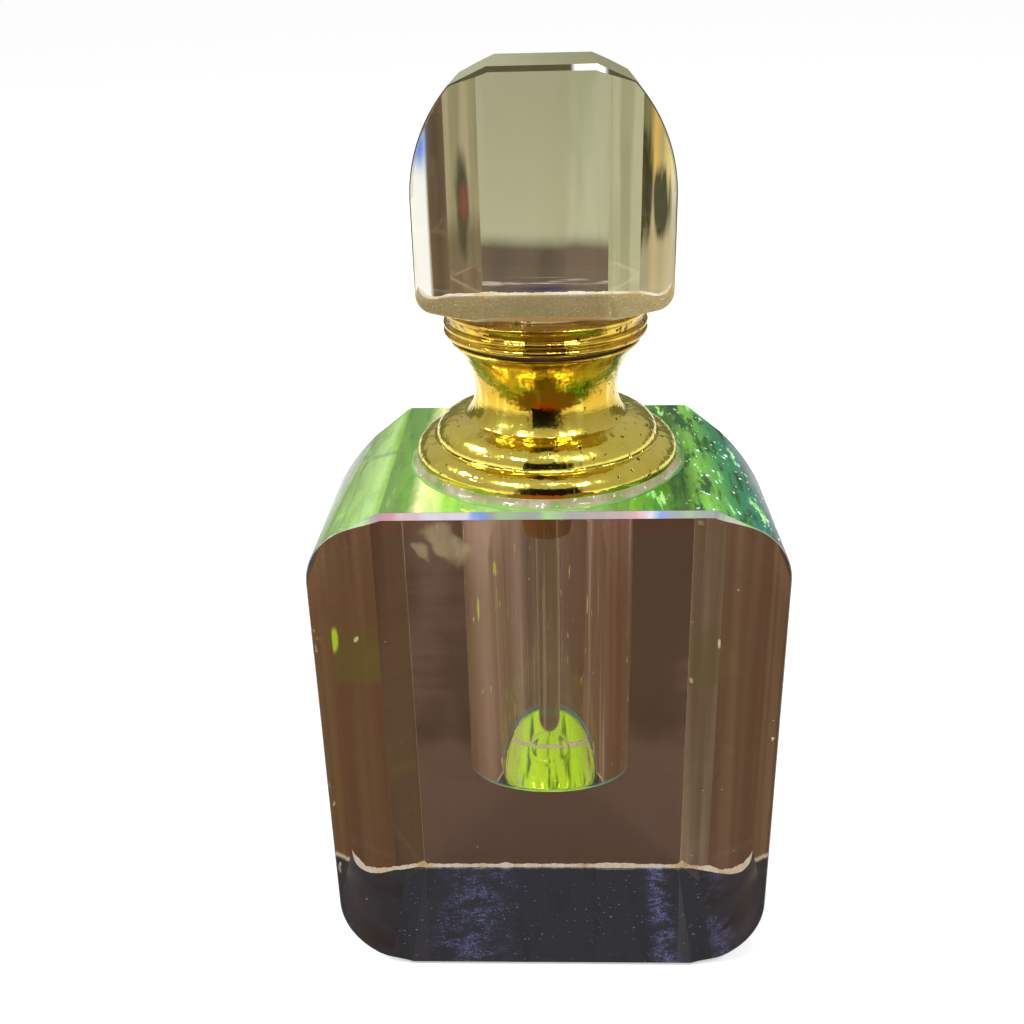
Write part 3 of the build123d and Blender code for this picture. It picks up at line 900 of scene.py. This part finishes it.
def drill(points, faces, outline, names, top):
    """Adds the bore to a block's points and faces: the glued ring, the wall and the floor with a fan to its
    middle, and then the crown, cut into triangles between its own edge and the ring's. Gives all points."""
    count = len(outline)
    profile = bore_profile(top)
    first = len(points)
    points = np.concatenate([points, carried_round(profile, BORE_COLUMNS), [[0, 0, BORE_FLOOR]]])
    for place, corners in enumerate(grid_faces(len(profile), BORE_COLUMNS) + first):
        on_wall = place >= BORE_COLUMNS
        faces.append((corners.tolist(), "bore" if on_wall else "glued", on_wall))
    centre = len(points) - 1
    last = centre - BORE_COLUMNS
    for i in range(BORE_COLUMNS):
        faces.append(([last + i, last + (i + 1) % BORE_COLUMNS, centre], "bore", True))
    crown = [i for i in range(count) if names[i] == "crown" or names[i - 1] == "crown"]
    crown.sort(key=lambda i: outline[i, 0])
    edge = [count + i for i in crown] + [2 * count + i for i in reversed(crown)]
    hole = [first + i for i in range(BORE_COLUMNS)]
    loops = [[Vector(points[i]) for i in loop] for loop in (edge, hole)]
    for corners in tessellate_polygon(loops):
        faces.append(([(edge + hole)[i] for i in corners], "crown", False))
    return points


def cut_block(name, block, looks, drilled=False):
    """A cut block: its outline is carried from the front bevel to the back plane and to the slanting back
    facets. The back is set in by a hair, because the polished edges stand proud of it. A ground chamfer of
    uneven width runs along the foot's back edge. looks has, slot by slot, the kinds of faces and their
    material. A face is kept as its corners, its kind and whether it is curved."""
    slot_of = {kind: slot for slot, (kinds, _) in enumerate(looks) for kind in kinds.split()}
    outline, names = block_outline(block)
    count = len(outline)
    ground = ground_width(block, outline, names)
    points = np.concatenate(block_rings(block, outline, ground))
    faces = [(list(range(count)), "front", False)]
    for i in range(count):
        on = (i + 1) % count
        faces.append(([i, on, count + on, count + i], "bevel", False))
        if ground[i] > 0 or ground[on] > 0:
            faces.append(([2 * count + i, 2 * count + on, 3 * count + on, 3 * count + i], "ground", False))
        if drilled and names[i] == "crown":
            continue
        curved = names[i].endswith("arc")
        faces.append(([count + i, count + on, 2 * count + on, 2 * count + i], names[i], curved))
    ring = 3 * count + np.arange(count)
    near = 1e-5
    back, crease = block["back"] / 2, block["crease"] / 2
    faces.append((ring[np.abs(outline[:, 0]) <= back + near].tolist(), "back", False))
    for across in (outline[:, 0], -outline[:, 0]):
        faces.append((ring[(across >= back - near) & (across <= crease + near)].tolist(), "facet", False))
        faces.append((ring[across >= crease - near].tolist(), "side_facet", False))
    if drilled:
        points = drill(points, faces, outline, names, block["base"] + block["height"])
    corners, kinds, smooth = zip(*faces)
    piece = make_piece(name, points, corners, [slot_of[kind] for kind in kinds], smooth)
    for _, material in looks:
        piece.data.materials.append(material)
    polish = piece.modifiers.new("polished_edges", "BEVEL")
    polish.width = EDGE_WIDTH * MM
    polish.segments = 2
    polish.limit_method = "ANGLE"
    polish.angle_limit = math.radians(EDGE_DEGREES)
    polish.material = slot_of["edge"]
    return piece


def dress(piece, body, nodes, slot, *materials):
    """Gives a new piece its materials, its body and the CAD nodes that it stands for. slot, its slot in the
    record, is not used."""
    for material in materials:
        piece.data.materials.append(material)
    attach(piece, body)
    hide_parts(*nodes)


# Shares of light that enter the body, and that leave a block where it is dark and where it is light; the
# smoky and olive leaving shares are painted shade, for a dark room seen through the clear crystal
ENTRY = (0.9, 0.85, 0.79)
SMOKE_SHADE = (0.06, 0.036, 0.024), (0.1, 0.062, 0.046)
OLIVE_SHADE = (0.38, 0.38, 0.24), (0.46, 0.46, 0.3)

body_looks = [
    ("front", smoke_shaded_crystal("crystal_front", ENTRY, SMOKE_SHADE, (1, 1, 1), 60, 0.5, marked=True)),
    ("back", smoke_shaded_crystal("crystal_back", ENTRY, SMOKE_SHADE, (1, 1, 0.4), 110, 0.54, pale_foot=0.34)),
    ("facet", slanting_face(
        "crystal_facet",
        ((0.1, 0.055, 0.035), (0.17, 0.1, 0.065)), ((0.2, 0.13, 0.095), (0.4, 0.29, 0.23)),
        (0.68, 0.7), 220, dict(strength=0.4, middle=19.1, reach=1.7, fall=-0.55, low=28.4, high=38.5),
        [(1, 11.55, 0.4, 35.3, 1.0, (0.9, 0.85, 0.6)), (1, 15.5, 0.5, 28.7, 0.6, (0.7, 0.45, 0.35))])),
    ("crown shoulder arc", crystal_top()),
    ("bore", bore_wall()),
    ("foot base", film()),
    ("bevel", bevel_glint()),
    ("ground", ground_edge("ground_foot")),
    ("edge", crystal("crystal_edge", (0.36, 0.27, 0.2), 0.3)),
    ("glued", glued_gold()),
    ("foot_arc", painted_foot_shade("foot_shade", (0.035, 0.035, 0.05), (0.05, 0.058, 0.1))),
    ("side_facet side", slanting_face(
        "crystal_side_facet",
        ((0.18, 0.075, 0.05), (0.23, 0.13, 0.07)), ((0.18, 0.09, 0.06), (0.27, 0.17, 0.11)),
        (0.65, 0.86), 160, dict(strength=0.5, middle=-22.9, reach=1.95, fall=0.85, low=31.8, high=42.0),
        [(-1, 1.5, 1.4, 39.6, 2.5, (0.62, 0.85, 0.06)), (-1, 6.3, 0.9, 38.0, 0.55, (0.8, 0.75, 0.45))])),
]
body_block = cut_block("crystal_block", BODY, body_looks, drilled=True)
dress(body_block, "bottle", ["crystal_body"], "crystal")

stopper_looks = [
    ("front", smoke_shaded_crystal("stopper_front", (1, 1, 1), OLIVE_SHADE, (1, 1, 0.3), 200, 0.5)),
    ("back", stopper_back()),
    ("facet", stopper_facet()),
    ("crown shoulder arc", stopper_top()),
    ("foot_arc foot base", speckled_glue()),
    ("ground", ground_edge("stopper_ground_foot")),
    ("edge", crystal("stopper_edge", (0.8, 0.78, 0.7), 0.3)),
    ("side_facet", stopper_side_facet()),
    ("side", crystal("stopper_side", (0.93, 0.95, 1.0))),
    ("bevel", stopper_bevel()),
]
stopper_block = cut_block("stopper_block", STOPPER, stopper_looks)
dress(stopper_block, "stopper", ["crystal_stopper"], "crystal")


# Gilt neck and cap ring, turned with fine threads

def thread(low, high, wall, depth):
    """Right-hand screw thread on the wall at this radius, as a change of radius: a rounded ridge whose
    height follows the cosine of the turns climbed, height over pitch less angle over a full turn, and which
    fades out at both ends."""
    def change(angle, height, radius):
        fade = np.clip((height - low) / THREAD_FADE, 0, 1) * np.clip((high - height) / THREAD_FADE, 0, 1)
        ridge = np.clip(0.5 + 0.9 * np.cos(2 * math.pi * (height / THREAD_PITCH) - angle), 0, 1)
        return depth * ridge * fade * (np.abs(radius - wall) < 0.02)
    return change


def upright(radius, low, high, step=0.1):
    """Points on a straight wall from one height to another, close enough together to carry a thread."""
    levels = np.linspace(low, high, int(abs(high - low) / step) + 1)
    return np.stack([np.full(len(levels), radius), levels], axis=1)


gold = polished_gold()
neck_profile = np.concatenate([
    round_corners([(ROUND_CENTRE, FLANGE_BASE), (FLANGE_RADIUS, FLANGE_BASE), (FLANGE_RADIUS, ROUND_BASE)],
                  [0, 0.2, 0]),
    ellipse((ROUND_CENTRE, ROUND_BASE), 2.0, 1.7, 0, 84, 22),
    [(12.6, 63.19), (STEP_RADIUS, STEP_TOP), (STEP_RADIUS, 63.42)],
    ellipse((8.9, 63.4), 3.3, 2.2, 0, 88, 28),
    waist_arc(WAIST, COVE_BASE, 16)[::-1],
    waist_arc(WAIST, LIP_BASE, 24)[1:],
    round_corners([LIP_BASE, (LIP_BASE[0], NECK_TOP), (9.0, NECK_TOP)], [0, 0.25, 0])[1:],
    round_corners([(7.4, NECK_TOP), (THROAT, NECK_TOP), (THROAT, 73.4)], [0, 0.2, 0]),
    upright(THROAT, 73.3, 68.0),
    [(THROAT, LEDGE), (LEDGE_HOLE, LEDGE), (LEDGE_HOLE, NECK_FOOT), (NECK_SPIGOT, NECK_FOOT),
     (NECK_SPIGOT, FLANGE_BASE)]])
neck_metal = turned("neck_metal", neck_profile, 192, thread(68.4, 73.8, THROAT, 0.25))
dress(neck_metal, "bottle", ["neck_collar"], "gold_plate", gold)

cap_profile = np.concatenate([
    ellipse((BEAD_CENTRE, CAP_BASE + 0.35), CAP_BEAD, CAP_BEAD, -90, 90, 11),
    ellipse((BEAD_CENTRE, CAP_BASE + 1.2), CAP_BEAD, CAP_BEAD, -90, 90, 11),
    waist_arc((BEAD_CENTRE, CAP_BASE + 1.55), CAP_RIM, 8),
    round_corners([CAP_RIM, (CAP_RIM[0], CAP_TOP), (10.4, CAP_TOP)], [0, 0.1, 0])[1:],
    [(0, CAP_TOP), (0, BLIND_TOP), (SPIGOT_BORE, BLIND_TOP), (SPIGOT_BORE, SPIGOT_END)],
    round_corners([(5.5, SPIGOT_END), (SPIGOT_RADIUS, SPIGOT_END), (SPIGOT_RADIUS, 69.8)], [0, 0.15, 0]),
    upright(SPIGOT_RADIUS, 69.9, 74.7),
    [(SPIGOT_RADIUS, CAP_BASE), (10.3, CAP_BASE)]])
cap_metal = turned("cap_ring_metal", cap_profile, 192, thread(69.7, 74.4, SPIGOT_RADIUS, 0.24))
dress(cap_metal, "stopper", ["cap_ring"], "gold_plate", gold)


# Glue

def uneven(reach, strength):
    """Change of radius that grows towards the reach: a sum of sines of the angle, for glue pressed out by
    hand."""
    def change(angle, height, radius):
        wave = waves(angle, [(0.45, 3, 1.0), (0.3, 7, 2.5), (0.2, 17, 0.0), (0.15, 29, 0.4)]) - 0.5
        return strength * wave * np.clip((radius - reach) / 0.8, 0, 1)
    return change


glue_profile = np.concatenate([
    [(GLUE_HOLE, NECK_FOOT), (GLUE_HOLE, GLUE_TOP), (14.3, GLUE_TOP), (14.42, 61.2)],
    ellipse((15.36, 61.2), 0.92, 0.86, 184, 266, 12),
    [(GLUE_EDGE, GLUE_BASE), (BORE_RADIUS, GLUE_BASE), (BORE_RADIUS, NECK_FOOT)]])
bead = turned("glue_bead", glue_profile, 240, uneven(14.5, 0.22))
dress(bead, "bottle", ["collar_cement"], "clear_cement", clear_glue())

disc_middle = (DISC_LOW + DISC_HIGH) / 2
disc_profile = np.concatenate([
    [(0, DISC_LOW)], ellipse((DISC_RADIUS, disc_middle), 0.13, 0.13, -90, 90, 8), [(0, DISC_HIGH)]])
disc = turned("glue_disc", disc_profile, 160, uneven(7.4, 0.1))
dress(disc, "stopper", ["stopper_cement"], "clear_cement", speckled_glue())

# Dipper rod
rod_profile = np.concatenate([
    ellipse((0, ROD_TIP_CENTRE), ROD_RADIUS, ROD_RADIUS, -90, 0, 16),
    upright(ROD_RADIUS, 28.0, 75.4, 2.0),
    round_corners([(ROD_RADIUS, 75.5), (ROD_RADIUS, ROD_TOP), (0, ROD_TOP)], [0, 0.2, 0])])
rod = turned("glass_rod", rod_profile, 96)
dress(rod, "stopper", ["dipper_rod"], "rod_glass", rod_glass())

# Plain CAD pieces that keep their shape
for name, material in {
    "neck_insert": moulded_plastic("insert_amber", (0.85, 0.4, 0.1), (0.6, 0.22, 0.05), 0.4),
    "rod_plug": moulded_plastic("plug_amber", (0.6, 0.42, 0.22), (0.45, 0.28, 0.12), 0.45),
    "sealing_washer": moulded_plastic("washer_rubber", (0.1, 0.06, 0.025), (0.05, 0.03, 0.014), 0.7),
}.items():
    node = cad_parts[name]
    node.data.materials.clear()
    node.data.materials.append(material)


# Floor, world, lamps and camera, all in metres

def sheet(name, corners, shader_tree, shader):
    """A flat sheet with four corners, whose material is this tree with this shader."""
    mesh = bpy.data.meshes.new(name)
    mesh.from_pydata(corners, [], [(0, 1, 2, 3)])
    mesh.materials.append(shader_tree.output(shader))
    return new_object(name, mesh)


def wall_corners(left, right, depth, low, high):
    """Corners of an upright rectangle that faces the bottle."""
    return [(left, depth, low), (right, depth, low), (right, depth, high), (left, depth, high)]


tree = new_tree("pale_floor")
seen, _ = tree.seen()
diffuse = tree.add("ShaderNodeBsdfDiffuse", None, {"Color": rgb(0.8, 0.8, 0.8)})[0]
glow = tree.add("ShaderNodeEmission", None, {"Color": rgb(1, 1, 1), "Strength": seen * 0.42})[0]
both = tree.add("ShaderNodeAddShader", None, {0: diffuse, 1: glow})[0]
half, level = 8, -0.02 * MM
floor_corners = [(-half, -half, level), (half, -half, level), (half, half, level), (-half, half, level)]
floor = sheet("floor", floor_corners, tree, both)

world = bpy.data.worlds.new("studio")
bpy.context.scene.world = world
tree = Tree(world)
seen, mirrored = tree.seen()
strength = 0.7 + 0.3 * seen - 0.45 * mirrored
background = tree.add("ShaderNodeBackground", None, {"Color": rgb(1, 1, 1), "Strength": strength})[0]
tree.add("ShaderNodeOutputWorld", None, {"Surface": background})


def flag(name, corners, colour, through_glass=False):
    """A card that only mirror reflections show, and where asked also light bent by glass: it gives the
    crystal and the gold something dark or brown to mirror."""
    shade = new_tree(name)
    card = sheet(name, corners, shade, shade.add("ShaderNodeEmission", None, {"Color": rgb(*colour)})[0])
    card.visible_camera = False
    card.visible_diffuse = False
    card.visible_transmission = through_glass
    card.visible_shadow = False


def lamp(name, azimuth, elevation, size, power):
    """A round soft lamp that looks at the bottle's middle. Azimuth 0 is in front, elevation is above the
    floor."""
    data = bpy.data.lights.new(name, "AREA")
    data.shape = "DISK"
    data.size = size
    data.energy = power
    made = new_object(name, data)
    around, tilt = math.radians(azimuth), math.radians(elevation)
    level = math.cos(tilt)
    towards = Vector((math.sin(around) * level, -math.cos(around) * level, math.sin(tilt)))
    middle, distance = Vector((0, 0, 0.06)), 0.6
    made.location = middle + towards * distance
    made.rotation_mode = "QUATERNION"
    made.rotation_quaternion = (-towards).to_track_quat("-Z", "Y")


CARD_DEPTH = -0.135
front_flag = [(-1.2, -8.0, 0.0001), (1.2, -8.0, 0.0001), (0.12, -0.0165, 0.0001), (-0.12, -0.0165, 0.0001)]
flag("front_flag", front_flag, (0.26, 0.18, 0.08), True)
flag("dark_card", wall_corners(-0.06, 0.06, CARD_DEPTH, 0.03, 0.15), (0.01, 0.008, 0.005))
flag("red_card", wall_corners(-0.05, 0.04, CARD_DEPTH, 0.001, 0.03), (0.45, 0.1, 0.02))
flag("back_flag", wall_corners(-2.0, 2.0, 0.9, 0.0, 0.35), (0.2, 0.21, 0.13))
lamp("lamp_right", 40, 50, 0.09, 1.2)
lamp("lamp_left", -40, 50, 0.09, 1.2)
lamp("lamp_side", -95, 45, 0.09, 1.0)
lamp("lamp_high", 12, 68, 0.04, 0.3)
lamp("lamp_low", -72, 32, 0.04, 0.25)

# Camera where the photograph was taken, from a fit of both blocks' edges
IMAGE_SIZE = 1024
FOCAL_PIXELS = 1188.37
SENSOR_WIDTH = 36.0
camera_data = bpy.data.cameras.new("camera")
camera_data.sensor_width = SENSOR_WIDTH
camera_data.lens = FOCAL_PIXELS / IMAGE_SIZE * SENSOR_WIDTH
camera_data.clip_start = 0.005
camera_data.clip_end = 10.0
camera = new_object("camera", camera_data)
pitch, yaw, roll = math.radians(24.681), math.radians(-2.366), math.radians(1.458)
forward = Matrix.Rotation(-yaw, 3, "Z") @ Vector((0, math.cos(pitch), -math.sin(pitch)))
right = Matrix.Rotation(-yaw, 3, "Z") @ Vector((1, 0, 0))
up = right.cross(forward)
tilted_right = math.cos(roll) * right - math.sin(roll) * up
tilted_up = math.sin(roll) * right + math.cos(roll) * up
turn = Matrix((tilted_right, tilted_up, -forward)).transposed()
camera.matrix_world = Matrix.Translation(Vector((1.04, -123.89, 110.195)) * MM) @ turn.to_4x4()
bpy.context.scene.camera = camera

LIGHT_BOUNCES = 32
bpy.context.scene.view_settings.view_transform = "Standard"
bpy.context.scene.cycles.max_bounces = LIGHT_BOUNCES
bpy.context.scene.cycles.glossy_bounces = LIGHT_BOUNCES
bpy.context.scene.cycles.transmission_bounces = LIGHT_BOUNCES
